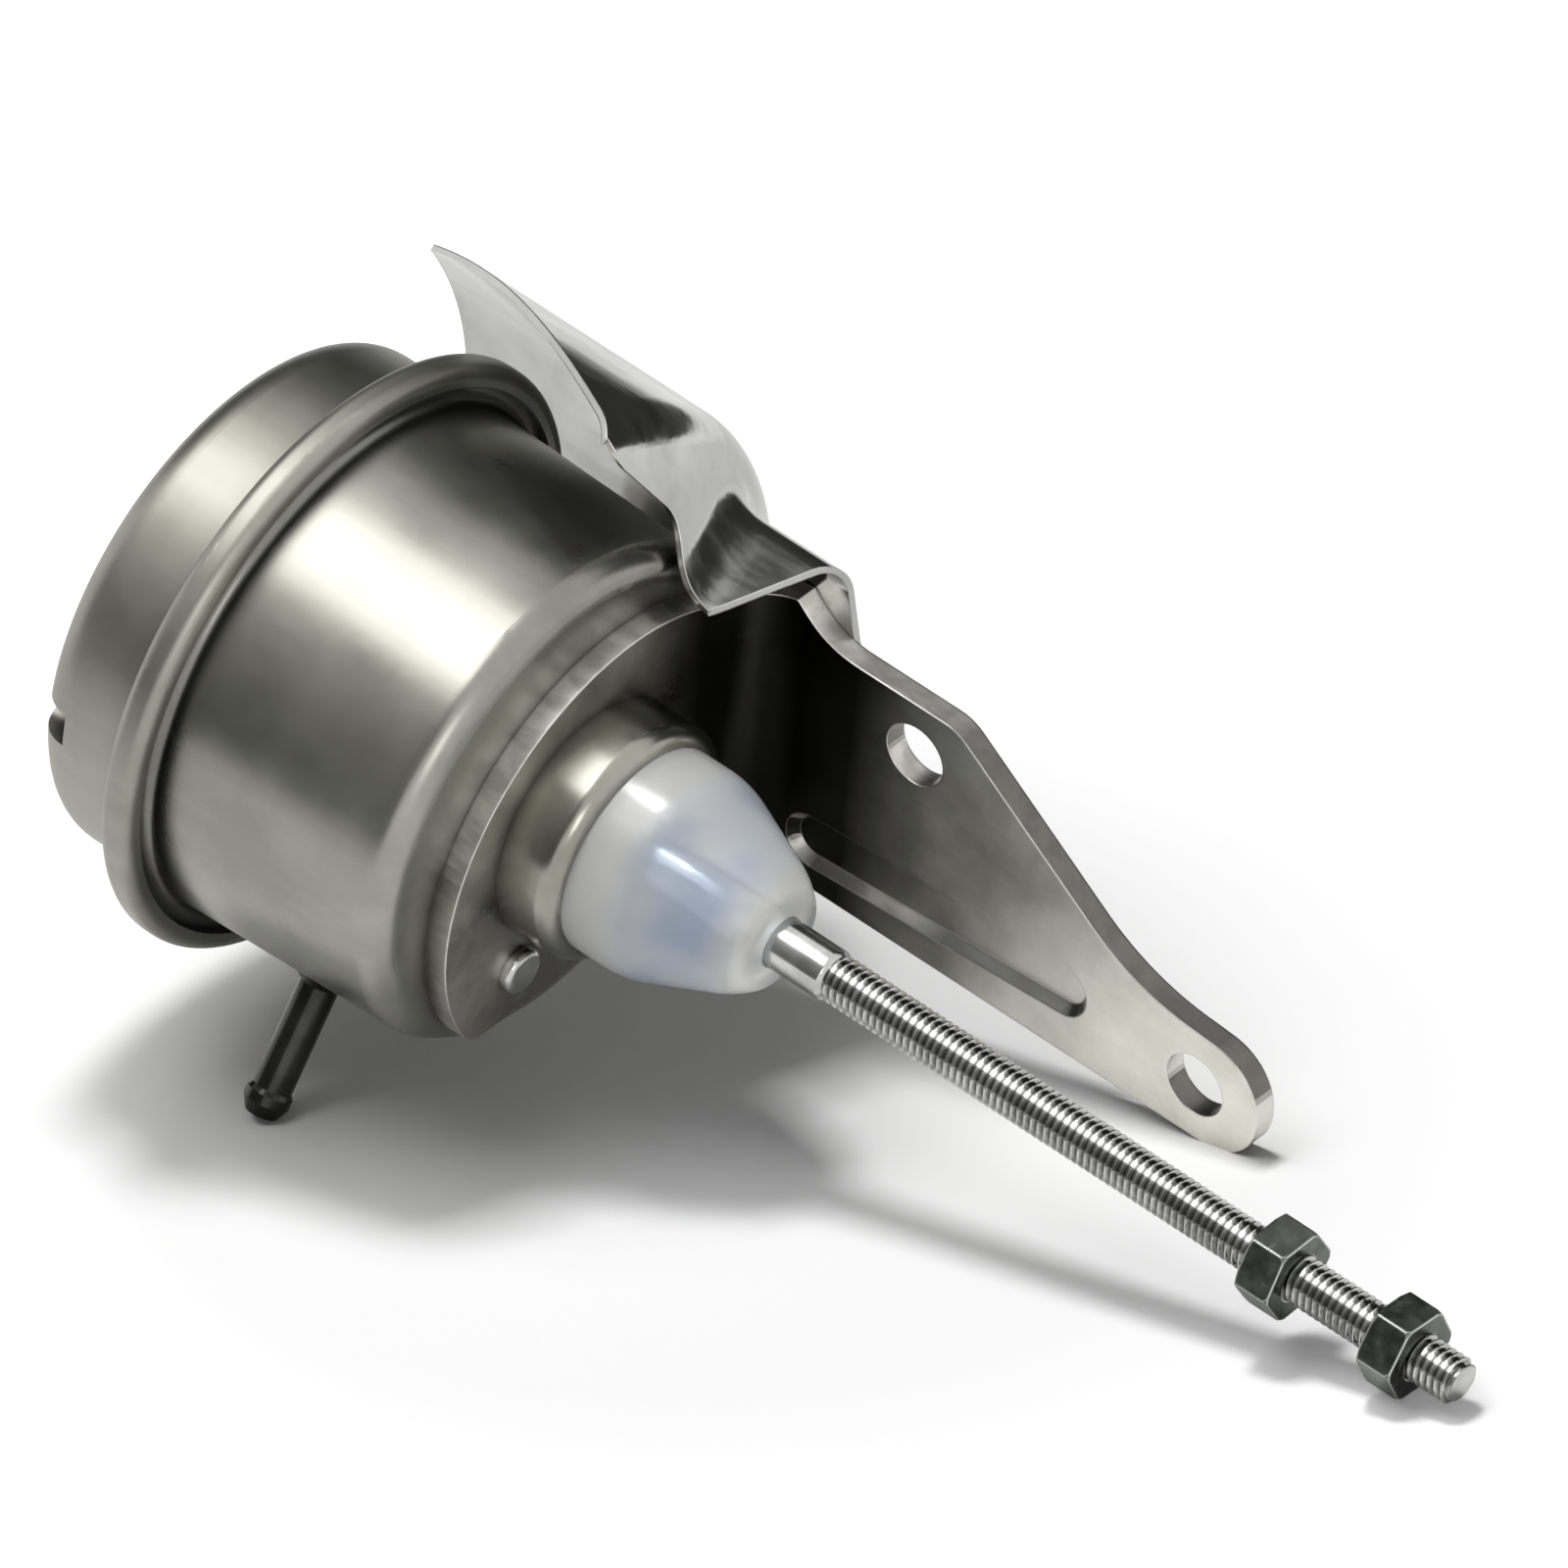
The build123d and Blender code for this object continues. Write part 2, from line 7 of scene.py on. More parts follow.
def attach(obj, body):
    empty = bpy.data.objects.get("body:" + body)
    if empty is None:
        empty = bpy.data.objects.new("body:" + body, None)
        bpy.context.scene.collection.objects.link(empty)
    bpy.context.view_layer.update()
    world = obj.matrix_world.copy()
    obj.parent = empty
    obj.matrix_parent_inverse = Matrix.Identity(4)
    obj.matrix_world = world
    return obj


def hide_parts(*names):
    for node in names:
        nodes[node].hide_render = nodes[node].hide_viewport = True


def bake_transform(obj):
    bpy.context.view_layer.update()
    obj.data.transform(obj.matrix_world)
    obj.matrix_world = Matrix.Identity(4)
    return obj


# Wastegate actuator, finished and set on a pale floor in plain studio light.
# Places are given round the rod's axis in millimetres, as in the part's source, and at() turns
# them into the row frame in metres, whose origin is midway between the arm's two holes.
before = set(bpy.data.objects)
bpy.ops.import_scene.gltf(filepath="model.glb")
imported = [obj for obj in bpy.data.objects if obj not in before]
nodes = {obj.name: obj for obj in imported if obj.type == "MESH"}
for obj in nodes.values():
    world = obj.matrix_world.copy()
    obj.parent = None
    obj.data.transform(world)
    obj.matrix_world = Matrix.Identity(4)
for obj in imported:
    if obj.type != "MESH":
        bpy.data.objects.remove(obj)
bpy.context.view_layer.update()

MM = 0.001
ROW_ORIGIN = Vector((83.5, 31.5, -5.9))


def at(x, y, z):
    """A point given in millimetres round the rod's axis, as a point of the row frame in metres."""
    return (Vector((x, y, z)) - ROW_ORIGIN)*MM


# Camera, at the photograph's viewing angle and scale
PICTURE_WIDTH = 1600
PIXELS_PER_MM = 9
VIEW_WIDTH = PICTURE_WIDTH/PIXELS_PER_MM
VIEW_RIGHT = Vector((0.755, 0.652, 0.074)).normalized()
VIEW_BACK = VIEW_RIGHT.cross(Vector((-0.488, 0.484, 0.727))).normalized()
VIEW_UP = VIEW_BACK.cross(VIEW_RIGHT)
VIEW_CENTRE = 51.39*VIEW_RIGHT - 15.11*VIEW_UP + 30*VIEW_BACK
CAMERA_DISTANCE = 6000

bpy.ops.object.select_all(action="DESELECT")
bpy.ops.object.camera_add()
camera = bpy.context.object
camera.name = "studio_camera"
turn = Matrix((VIEW_RIGHT, VIEW_UP, VIEW_BACK)).transposed().to_4x4()
camera.matrix_world = Matrix.Translation(at(*(VIEW_CENTRE + CAMERA_DISTANCE*VIEW_BACK))) @ turn
camera.data.lens = camera.data.sensor_width*CAMERA_DISTANCE/VIEW_WIDTH
camera.data.clip_start = 0.05
camera.data.clip_end = 40
bpy.context.scene.camera = camera
bpy.context.scene.view_settings.view_transform = "Standard"


# Helpers for materials. The world has a node tree too, so they serve for it as well.
def new_material(name, color, metallic, roughness, **sockets):
    """A material with one Principled shader, its even values set on the shader's own sockets."""
    material = bpy.data.materials.new(name)
    material.use_nodes = True
    shader = material.node_tree.nodes["Principled BSDF"]
    shader.inputs["Base Color"].default_value = (*color, 1)
    shader.inputs["Metallic"].default_value = metallic
    shader.inputs["Roughness"].default_value = roughness
    for socket, value in sockets.items():
        shader.inputs[socket.replace("_", " ")].default_value = value
    return material


def add_node(material, kind, **values):
    """A new node, with its attributes or its inputs set by name."""
    node = material.node_tree.nodes.new(kind)
    for name, value in values.items():
        if hasattr(node, name):
            setattr(node, name, value)
        else:
            node.inputs[name.replace("_", " ")].default_value = value
    return node


def link(material, source, target):
    material.node_tree.links.new(source, target)


def finish_with(material, socket, source):
    """Connects a node's output to the Principled shader."""
    link(material, source, material.node_tree.nodes["Principled BSDF"].inputs[socket])


def own_place(material):
    """A point's place in the row frame, which is its place in the mesh."""
    return add_node(material, "ShaderNodeTexCoord").outputs["Object"]


def object_noise(material, scale, detail=5.0, roughness=0.55, stretch=(1, 1, 1)):
    """Noise on Object coordinates, its cells stretched along the axes."""
    mapping = add_node(material, "ShaderNodeMapping", Scale=stretch)
    noise = add_node(
        material,
        "ShaderNodeTexNoise",
        Scale=scale,
        Detail=detail,
        Roughness=roughness,
    )
    link(material, own_place(material), mapping.inputs["Vector"])
    link(material, mapping.outputs["Vector"], noise.inputs["Vector"])
    return noise.outputs["Fac"]


def ramp(material, value, low, high, low_out, high_out):
    """The value's stretch from low to high, mapped to the outputs given."""
    mapped = add_node(
        material,
        "ShaderNodeMapRange",
        From_Min=low,
        From_Max=high,
        To_Min=low_out,
        To_Max=high_out,
    )
    link(material, value, mapped.inputs["Value"])
    return mapped.outputs["Result"]


def math_node(material, operation, first, second=None):
    """A Math node, its inputs a number or a socket."""
    node = add_node(material, "ShaderNodeMath", operation=operation)
    for socket, value in zip(node.inputs, (first, second)):
        if isinstance(value, (int, float)):
            socket.default_value = value
        elif value is not None:
            link(material, value, socket)
    return node.outputs["Value"]


def vector_math(material, operation, first, second):
    """A Vector Math node between a socket and either a fixed vector or another socket."""
    node = add_node(material, "ShaderNodeVectorMath", operation=operation)
    link(material, first, node.inputs[0])
    if isinstance(second, (tuple, Vector)):
        node.inputs[1].default_value = second
    else:
        link(material, second, node.inputs[1])
    return node.outputs["Vector" if operation == "MULTIPLY" else "Value"]


def one_axis(material, vector, axis):
    """One of a vector's three parts."""
    parts = add_node(material, "ShaderNodeSeparateXYZ")
    link(material, vector, parts.inputs["Vector"])
    return parts.outputs[axis]


def along_rod(material, start, end, high_out=1):
    """0 before one station on the rod's axis, and high_out past another, in millimetres."""
    station = one_axis(material, own_place(material), "X")
    return ramp(material, station, at(start, 0, 0).x, at(end, 0, 0).x, 0, high_out)


def mix_colors(material, factor, first, second):
    """A colour between two others, either of them a value or a socket."""
    mixed = add_node(material, "ShaderNodeMix", data_type="RGBA")
    link(material, factor, mixed.inputs["Factor"])
    for socket, color in ((mixed.inputs["A"], first), (mixed.inputs["B"], second)):
        if isinstance(color, tuple):
            socket.default_value = (*color, 1)
        else:
            link(material, color, socket)
    return mixed.outputs["Result"]


def two_tones(material, pattern, low, high, dark, light):
    """The dark tone where the pattern is under low, and the light one where it is over high."""
    return mix_colors(material, ramp(material, pattern, low, high, 0, 1), dark, light)


def rounded_edges(material, radius):
    """The normal that the surface would have with its edges rounded off."""
    return add_node(material, "ShaderNodeBevel", samples=6, Radius=radius).outputs["Normal"]


def true_normal(material):
    return add_node(material, "ShaderNodeNewGeometry").outputs["True Normal"]


def edge_mask(material, rounded, low, high):
    """1 on the edges, from how far the rounded normal leaves the true one."""
    agreement = vector_math(material, "DOT_PRODUCT", rounded, true_normal(material))
    return ramp(material, agreement, 1 - low, 1 - high, 0, 1)


def bump(material, height, strength, distance, normal=None):
    """Connects a height to the shader's normal, over another normal if one is given."""
    node = add_node(material, "ShaderNodeBump", Strength=strength, Distance=distance)
    link(material, height, node.inputs["Height"])
    if normal is not None:
        link(material, normal, node.inputs["Normal"])
    finish_with(material, "Normal", node.outputs["Normal"])


def painted_corner_shade(material, distance, low, high):
    """Painted shade: 1 deep in corners and 0 in the open, from how shut in the surface is."""
    shut_in = add_node(material, "ShaderNodeAmbientOcclusion", samples=8, Distance=distance)
    return ramp(material, shut_in.outputs["AO"], high, low, 0, 1)


# Finishes of the sheet metal
ALONG_THE_AXIS = (0.12, 1, 1)
EVEN = (1, 1, 1)


def drawn_steel(name, dark, light, rough_low, rough_high, streak_stretch, unevenness):
    """Satin sheet steel: cloudy tone, streaks from the drawing die, a slightly uneven face, and
    painted corner shade.
    """
    material = new_material(name, light, 1.0, rough_low)
    cloud = object_noise(material, 55, detail=4)
    streaks = object_noise(material, 260, detail=3, stretch=streak_stretch)
    pattern = math_node(material, "ADD", math_node(material, "MULTIPLY", streaks, 0.35), cloud)
    color = two_tones(material, pattern, 0.5, 0.85, dark, light)
    # Painted shade: the colour darkens deep in corners.
    painted_shade = painted_corner_shade(material, 12*MM, 0.35, 0.8)
    color = mix_colors(material, painted_shade, color, tuple(0.18*value for value in dark))
    finish_with(material, "Base Color", color)
    finish_with(material, "Roughness", ramp(material, cloud, 0.35, 0.7, rough_low, rough_high))
    bump(material, object_noise(material, 70, detail=2), 0.25, unevenness)
    return material


canister_steel = drawn_steel(
    "canister_steel",
    (0.275, 0.273, 0.242),
    (0.38, 0.377, 0.338),
    0.26,
    0.34,
    ALONG_THE_AXIS,
    0.12*MM,
)
cover_steel = drawn_steel(
    "cover_steel",
    (0.29, 0.288, 0.25),
    (0.38, 0.377, 0.335),
    0.38,
    0.46,
    ALONG_THE_AXIS,
    0.12*MM,
)
collar_steel = drawn_steel(
    "collar_steel",
    (0.28, 0.278, 0.24),
    (0.40, 0.397, 0.35),
    0.2,
    0.28,
    EVEN,
    0.08*MM,
)
fitting_steel = drawn_steel(
    "fitting_steel",
    (0.05, 0.05, 0.045),
    (0.10, 0.10, 0.09),
    0.22,
    0.32,
    EVEN,
    0.06*MM,
)

# The bracket's fold runs straight up, between its base and its arm
FOLD_LINE = at(44, 26, ROW_ORIGIN.z)
INTO_THE_FOLD = (0.707, -0.707, 0)


def cut_plate():
    """Zinc plate, dull on the base, with painted shade in its fold and corners, painted lighter
    towards the arm's end.
    """
    material = new_material("bracket_steel", (0.25, 0.24, 0.21), 1.0, 0.34)
    cloud = object_noise(material, 75, detail=6, roughness=0.62)
    stain = object_noise(material, 320, detail=4, stretch=(0.5, 1, 1.6))

    face = two_tones(material, cloud, 0.34, 0.68, (0.30, 0.294, 0.26), (0.52, 0.508, 0.455))
    pale_stains = ramp(material, stain, 0.56, 0.74, 0, 0.5)
    face = mix_colors(material, pale_stains, face, (0.58, 0.57, 0.52))
    # Painted shade: the face turns near black deep in corners.
    painted_shade = painted_corner_shade(material, 18*MM, 0.3, 0.75)
    face = mix_colors(material, painted_shade, face, (0.02, 0.02, 0.016))
    # Painted light: the face grows lighter towards the arm's end, from station 46 to 92.
    painted_light_face = two_tones(material, cloud, 0.34, 0.68, (0.62, 0.61, 0.55), (0.86, 0.845, 0.77))
    face = mix_colors(material, along_rod(material, 46, 92), face, painted_light_face)

    # Painted shade: near-black colour on the inner side of the bracket's fold.
    level = vector_math(material, "MULTIPLY", own_place(material), (1, 1, 0))
    off_fold = vector_math(material, "DISTANCE", level, FOLD_LINE)
    near_fold = ramp(material, off_fold, 21*MM, 9*MM, 0, 1)
    normal = true_normal(material)
    inwards = vector_math(material, "DOT_PRODUCT", normal, INTO_THE_FOLD)
    inner_side = ramp(material, inwards, 0.05, 0.3, 0, 0.96)
    painted_fold_shade = math_node(material, "MULTIPLY", near_fold, inner_side)
    face = mix_colors(material, painted_fold_shade, face, (0.008, 0.008, 0.006))

    cut = two_tones(material, stain, 0.4, 0.6, (0.46, 0.453, 0.42), (0.68, 0.672, 0.63))
    # Painted shade: the cut face is darkened from station 62 on, where the arm's edge slopes down.
    painted_slope_shade = along_rod(material, 62, 68, 0.85)
    cut = mix_colors(material, painted_slope_shade, cut, (0.11, 0.108, 0.096))
    steepness = math_node(material, "ABSOLUTE", one_axis(material, normal, "Z"))
    color = mix_colors(material, ramp(material, steepness, 0.3, 0.42, 0, 1), face, cut)

    rounded = rounded_edges(material, 0.35*MM)
    worn_edge = edge_mask(material, rounded, 0.03, 0.25)
    finish_with(material, "Base Color", mix_colors(material, worn_edge, color, (0.88, 0.87, 0.83)))
    finish_with(material, "Roughness", ramp(material, cloud, 0.3, 0.7, 0.26, 0.42))
    bump(material, stain, 0.18, 0.06*MM, rounded)
    return material


bracket_steel = cut_plate()


def thin_sheet():
    """Polished thin sheet, bent by hand: its reflections waver, and its cut edge is bright."""
    material = new_material("shield_steel", (0.55, 0.55, 0.53), 1.0, 0.16)
    cloud = object_noise(material, 60, detail=5)
    scuffs = object_noise(material, 420, detail=4, stretch=(0.25, 1, 1))
    color = two_tones(material, cloud, 0.35, 0.65, (0.43, 0.43, 0.41), (0.60, 0.60, 0.58))
    # Painted shade: the colour darkens deep in corners.
    painted_shade = painted_corner_shade(material, 10*MM, 0.15, 0.6)
    color = mix_colors(material, painted_shade, color, (0.10, 0.10, 0.09))
    rounded = rounded_edges(material, 0.25*MM)
    cut_edge = edge_mask(material, rounded, 0.03, 0.3)
    finish_with(material, "Base Color", mix_colors(material, cut_edge, color, (0.85, 0.85, 0.82)))
    finish_with(material, "Roughness", ramp(material, scuffs, 0.4, 0.7, 0.13, 0.24))
    bump(material, object_noise(material, 45, detail=2), 0.5, 0.4*MM, rounded)
    return material


shield_steel = thin_sheet()


# Finishes of the nuts, the rod and the inner pieces
def black_nut():
    """Phosphated nut steel with worn bright edges and faint handling marks."""
    material = new_material("nut_steel", (0.05, 0.056, 0.05), 1.0, 0.3)
    cloud = object_noise(material, 420, detail=5)
    marks = object_noise(material, 900, detail=4, stretch=(1, 0.3, 1))
    color = two_tones(material, cloud, 0.36, 0.66, (0.09, 0.098, 0.09), (0.15, 0.162, 0.15))
    handled = ramp(material, marks, 0.6, 0.75, 0, 0.6)
    color = mix_colors(material, handled, color, (0.28, 0.29, 0.27))
    rounded = rounded_edges(material, 0.45*MM)
    worn_edge = edge_mask(material, rounded, 0.015, 0.12)
    finish_with(material, "Base Color", mix_colors(material, worn_edge, color, (0.8, 0.81, 0.78)))
    finish_with(material, "Roughness", ramp(material, cloud, 0.35, 0.65, 0.24, 0.36))
    bump(material, marks, 0.12, 0.05*MM, rounded)
    return material


nut_steel = black_nut()


def plain_metal(name, dark, light, rough_low, rough_high, scale):
    """Worked metal in two close tones, with a faint grain."""
    material = new_material(name, light, 1.0, rough_low)
    cloud = object_noise(material, scale, detail=5)
    finish_with(material, "Base Color", two_tones(material, cloud, 0.35, 0.65, dark, light))
    finish_with(material, "Roughness", ramp(material, cloud, 0.35, 0.65, rough_low, rough_high))
    bump(material, object_noise(material, 6*scale, detail=2), 0.1, 0.03*MM)
    return material


def rod_plating():
    """Bright zinc, with painted shade lying dark in the grooves of the thread."""
    material = new_material("rod_zinc", (0.66, 0.66, 0.65), 1.0, 0.15)
    cloud = object_noise(material, 220, detail=4)
    face = two_tones(material, cloud, 0.35, 0.65, (0.46, 0.46, 0.455), (0.68, 0.68, 0.67))
    # Painted shade: the grooves, between 2.36 and 2.8 mm off the axis, are coloured dark.
    across = vector_math(material, "MULTIPLY", own_place(material), (0, 1, 1))
    axis = at(0, 0, 0)
    off_axis = vector_math(material, "DISTANCE", across, (0, axis.y, axis.z))
    below_teeth = ramp(material, off_axis, 2.8*MM, 2.42*MM, 0, 1)
    outside_core = ramp(material, off_axis, 2.3*MM, 2.36*MM, 0, 1)
    painted_root_shade = math_node(material, "MULTIPLY", below_teeth, outside_core)
    finish_with(material, "Base Color", mix_colors(material, painted_root_shade, face, (0.26, 0.26, 0.255)))
    finish_with(material, "Roughness", ramp(material, cloud, 0.35, 0.65, 0.12, 0.2))
    return material


rod_zinc = rod_plating()
rivet_steel = plain_metal("rivet_steel", (0.5, 0.5, 0.48), (0.7, 0.7, 0.67), 0.18, 0.28, 300)
inner_steel = plain_metal("inner_steel", (0.46, 0.46, 0.46), (0.6, 0.6, 0.6), 0.28, 0.38, 90)
spring_steel = plain_metal("spring_steel", (0.18, 0.18, 0.18), (0.28, 0.28, 0.28), 0.25, 0.35, 200)
bush_bronze = plain_metal("bush_bronze", (0.45, 0.3, 0.14), (0.6, 0.42, 0.22), 0.3, 0.42, 160)


def rubber(name, dark, light):
    """Matt rubber with a faint dusty cloud."""
    material = new_material(name, light, 0.0, 0.6)
    cloud = object_noise(material, 120, detail=5)
    finish_with(material, "Base Color", two_tones(material, cloud, 0.4, 0.65, dark, light))
    bump(material, object_noise(material, 2500, detail=2), 0.2, 0.03*MM)
    return material


diaphragm_rubber = rubber("diaphragm_rubber", (0.02, 0.02, 0.02), (0.05, 0.05, 0.05))
seal_rubber = rubber("seal_rubber", (0.03, 0.03, 0.03), (0.06, 0.06, 0.06))


def clear_silicone():
    """Milky silicone that lets the rod and the dark inside show through, with painted blue-grey
    shade in patches, whiter where thick.
    """
    material = new_material(
        "boot_silicone",
        (0.95, 0.97, 0.99),
        0.0,
        0.18,
        IOR=1.41,
        Transmission_Weight=0.68,
    )
    cloud = object_noise(material, 70, detail=2)
    # Partly the silicone's milky tone, partly painted shade: blue-grey patches standing in for the
    # dark inside seen through.
    haze_and_painted_shade = two_tones(material, cloud, 0.4, 0.6, (0.68, 0.77, 0.90), (0.92, 0.95, 0.98))
    straight_part = along_rod(material, 54.5, 51)
    nose = along_rod(material, 62.5, 65.5)
    thick = math_node(material, "MAXIMUM", straight_part, nose)
    finish_with(material, "Base Color", mix_colors(material, thick, haze_and_painted_shade, (1.0, 1.0, 0.98)))
    finish_with(material, "Roughness", ramp(material, cloud, 0.35, 0.65, 0.15, 0.22))
    bump(material, object_noise(material, 120, detail=2), 0.1, 0.1*MM)
    return material


boot_silicone = clear_silicone()


# Helpers for shapes
def pick(piece):
    """Selects one piece alone."""
    bpy.ops.object.select_all(action="DESELECT")
    bpy.context.view_layer.objects.active = piece
    piece.select_set(True)


def draw_line(name, points):
    """A new object on the rod's axis, holding one open line through points given in millimetres."""
    bpy.ops.object.select_all(action="DESELECT")
    bpy.ops.mesh.primitive_plane_add(size=MM, location=at(0, 0, 0))
    line = bpy.context.object
    line.name = name
    line.data.name = name
    bpy.ops.object.mode_set(mode="EDIT")
    bpy.ops.mesh.select_mode(type="VERT")
    bpy.ops.mesh.select_all(action="SELECT")
    bpy.ops.mesh.merge(type="CENTER")
    bpy.ops.transform.translate(value=Vector(points[0])*MM)
    for start, end in zip(points, points[1:]):
        step = (Vector(end) - Vector(start))*MM
        bpy.ops.mesh.extrude_region_move(TRANSFORM_OT_translate={"value": step})
    bpy.ops.object.mode_set(mode="OBJECT")
    return line


def close_skin(piece):
    """Merges the seam and the poles of a spun skin and points its faces outwards."""
    pick(piece)
    bpy.ops.object.mode_set(mode="EDIT")
    bpy.ops.mesh.select_all(action="SELECT")
    bpy.ops.mesh.remove_doubles(threshold=0.002*MM)
    bpy.ops.mesh.normals_make_consistent(inside=False)
    bpy.ops.object.mode_set(mode="OBJECT")


def settle(piece, angle):
    """Puts a finished piece's place into its mesh, and shades it smooth up to so many degrees."""
    pick(piece)
    bpy.ops.object.transform_apply(location=True, rotation=True, scale=True)
    bpy.ops.object.shade_smooth_by_angle(angle=math.radians(angle))


def dress(piece, material):
    """Gives a piece its one material."""
    piece.data.materials.clear()
    piece.data.materials.append(material)


def spin_round(name, profile, steps):
    """A turned piece: a closed profile of (x, radius) pairs, spun round the rod's axis."""
    piece = draw_line(name, [(x, radius, 0) for x, radius in (*profile, profile[0])])
    bpy.ops.object.mode_set(mode="EDIT")
    bpy.ops.mesh.select_all(action="SELECT")
    bpy.ops.mesh.spin(steps=steps, angle=2*math.pi, center=at(0, 0, 0), axis=(1, 0, 0))
    bpy.ops.object.mode_set(mode="OBJECT")
    close_skin(piece)
    return piece


def round_rings(piece, rings, segments):
    """Bevels the rings of a turned piece, each given as its station, radius and bend."""
    near = 0.02
    for x, radius, bend in rings:
        bpy.ops.object.mode_set(mode="EDIT")
        bpy.ops.mesh.select_all(action="DESELECT")
        bpy.ops.mesh.select_mode(type="EDGE")
        bpy.ops.object.mode_set(mode="OBJECT")
        points = piece.data.vertices
        for edge in piece.data.edges:
            ends = [points[index].co/MM for index in edge.vertices]
            edge.select = all(
                abs(end.x - x) < near and abs(math.hypot(end.y, end.z) - radius) < near
                for end in ends
            )
        bpy.ops.object.mode_set(mode="EDIT")
        bpy.ops.mesh.bevel(offset=bend*MM, segments=segments, affect="EDGES")
        bpy.ops.object.mode_set(mode="OBJECT")


def slice_off(piece, x, keep_front):
    """Cuts a piece square at a station, closes it, and keeps the part in front or behind."""
    pick(piece)
    bpy.ops.object.mode_set(mode="EDIT")
    bpy.ops.mesh.select_all(action="SELECT")
    bpy.ops.mesh.bisect(
        plane_co=at(x, 0, 0),
        plane_no=(1, 0, 0),
        use_fill=True,
        clear_inner=keep_front,
        clear_outer=not keep_front,
        threshold=0.00001*MM,
    )
    bpy.ops.object.mode_set(mode="OBJECT")


def winding(name, profile, length, turns, steps):
    """A profile of (x, radius) pairs, wound round the rod's axis as it runs forwards."""
    piece = draw_line(name, [(x, radius, 0) for x, radius in profile])
    coil = piece.modifiers.new("winding", "SCREW")
    coil.axis = "X"
    coil.angle = 2*math.pi*turns
    coil.screw_offset = length*MM
    coil.iterations = 1
    coil.steps = int(steps*turns)
    coil.render_steps = int(steps*turns)
    pick(piece)
    bpy.ops.object.modifier_apply(modifier=coil.name)
    close_skin(piece)
    return piece


# Rod: a stud in the piston, a smooth front half in the bush, and a rolled thread to the tip
STUD_BACK = -9.6
STUD_HEAD_R = 4.5
STUD_R = 2.5
SHOULDER = -4.6
ROD_R = 3.2
THREAD_R = 2.95
THREAD_ROOT_R = 2.38
THREAD_START = 75.4
THREAD_TURNS = 96
PITCH = 1.0
ROD_TIP = 169.3
TIP_LENGTH = 0.75
TIP_SHARE = 0.86

first_groove = THREAD_START - PITCH
thread = winding(
    "rod_thread",
    (
        (first_groove, THREAD_ROOT_R),
        (first_groove + 0.16, THREAD_ROOT_R),
        (first_groove + 0.49, THREAD_R),
        (first_groove + 0.67, THREAD_R),
        (first_groove + PITCH, THREAD_ROOT_R),
    ),
    THREAD_TURNS*PITCH,
    THREAD_TURNS,
    32,
)
slice_off(thread, THREAD_START - 0.2, keep_front=True)
slice_off(thread, ROD_TIP, keep_front=False)

bpy.ops.object.mode_set(mode="EDIT")
bpy.ops.mesh.select_all(action="DESELECT")
bpy.ops.object.mode_set(mode="OBJECT")
for point in thread.data.vertices:
    point.select = point.co.x/MM > ROD_TIP - TIP_LENGTH
bpy.ops.object.mode_set(mode="EDIT")
bpy.ops.transform.resize(value=(1, TIP_SHARE, TIP_SHARE), center_override=at(ROD_TIP, 0, 0))
bpy.ops.object.mode_set(mode="OBJECT")

shank = spin_round(
    "threaded_rod",
    (
        (STUD_BACK, 0),
        (STUD_BACK, STUD_HEAD_R),
        (STUD_BACK + 1, STUD_HEAD_R),
        (STUD_BACK + 1, STUD_R),
        (SHOULDER, STUD_R),
        (SHOULDER, ROD_R),
        (THREAD_START, ROD_R),
        (THREAD_START + 0.7, THREAD_ROOT_R),
        (THREAD_START + 0.7, 0),
    ),
    48,
)
round_rings(shank, ((STUD_BACK, STUD_HEAD_R, 0.4), (THREAD_START, ROD_R, 0.2)), 3)
bpy.ops.object.select_all(action="DESELECT")
thread.select_set(True)
shank.select_set(True)
bpy.context.view_layer.objects.active = shank
bpy.ops.object.join()
settle(shank, 40)
dress(shank, rod_zinc)
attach(shank, "rod_assembly")
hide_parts("actuator_rod")


# Boot: a soft tapered sleeve, its bead under the collar and its nose on the rod
BEAD_BACK = 43.45
BEAD_FRONT = 44.95
BEAD_R = 14.25
SLEEVE_R = 13.3
SLEEVE_BORE_R = 11.5
CONE_START = 53.0
CONE_END = 65.0
CONE_END_R = 8.4
NOSE_FRONT = 67.8
NOSE_R = 6.2
NOSE_BORE_R = 3.25

sleeve = spin_round(
    "silicone_boot",
    (
        (BEAD_BACK, SLEEVE_BORE_R),
        (BEAD_BACK, BEAD_R),
        (BEAD_FRONT, BEAD_R),
        (BEAD_FRONT, SLEEVE_R),
        (CONE_START, SLEEVE_R),
        (CONE_END, CONE_END_R),
        (NOSE_FRONT, NOSE_R),
        (NOSE_FRONT, NOSE_BORE_R),
        (65.4, NOSE_BORE_R),
        (65.4, 4.4),
        (64.6, 6.6),
        (CONE_START, SLEEVE_BORE_R),
    ),
    128,
)
round_rings(
    sleeve,
    (
        (CONE_START, SLEEVE_R, 2.2),
        (CONE_END, CONE_END_R, 1.6),
        (NOSE_FRONT, NOSE_R, 1.0),
        (NOSE_FRONT, NOSE_BORE_R, 0.3),
        (CONE_START, SLEEVE_BORE_R, 1.5),
    ),
    5,
)
settle(sleeve, 50)
dress(sleeve, boot_silicone)
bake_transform(sleeve)
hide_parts("boot")


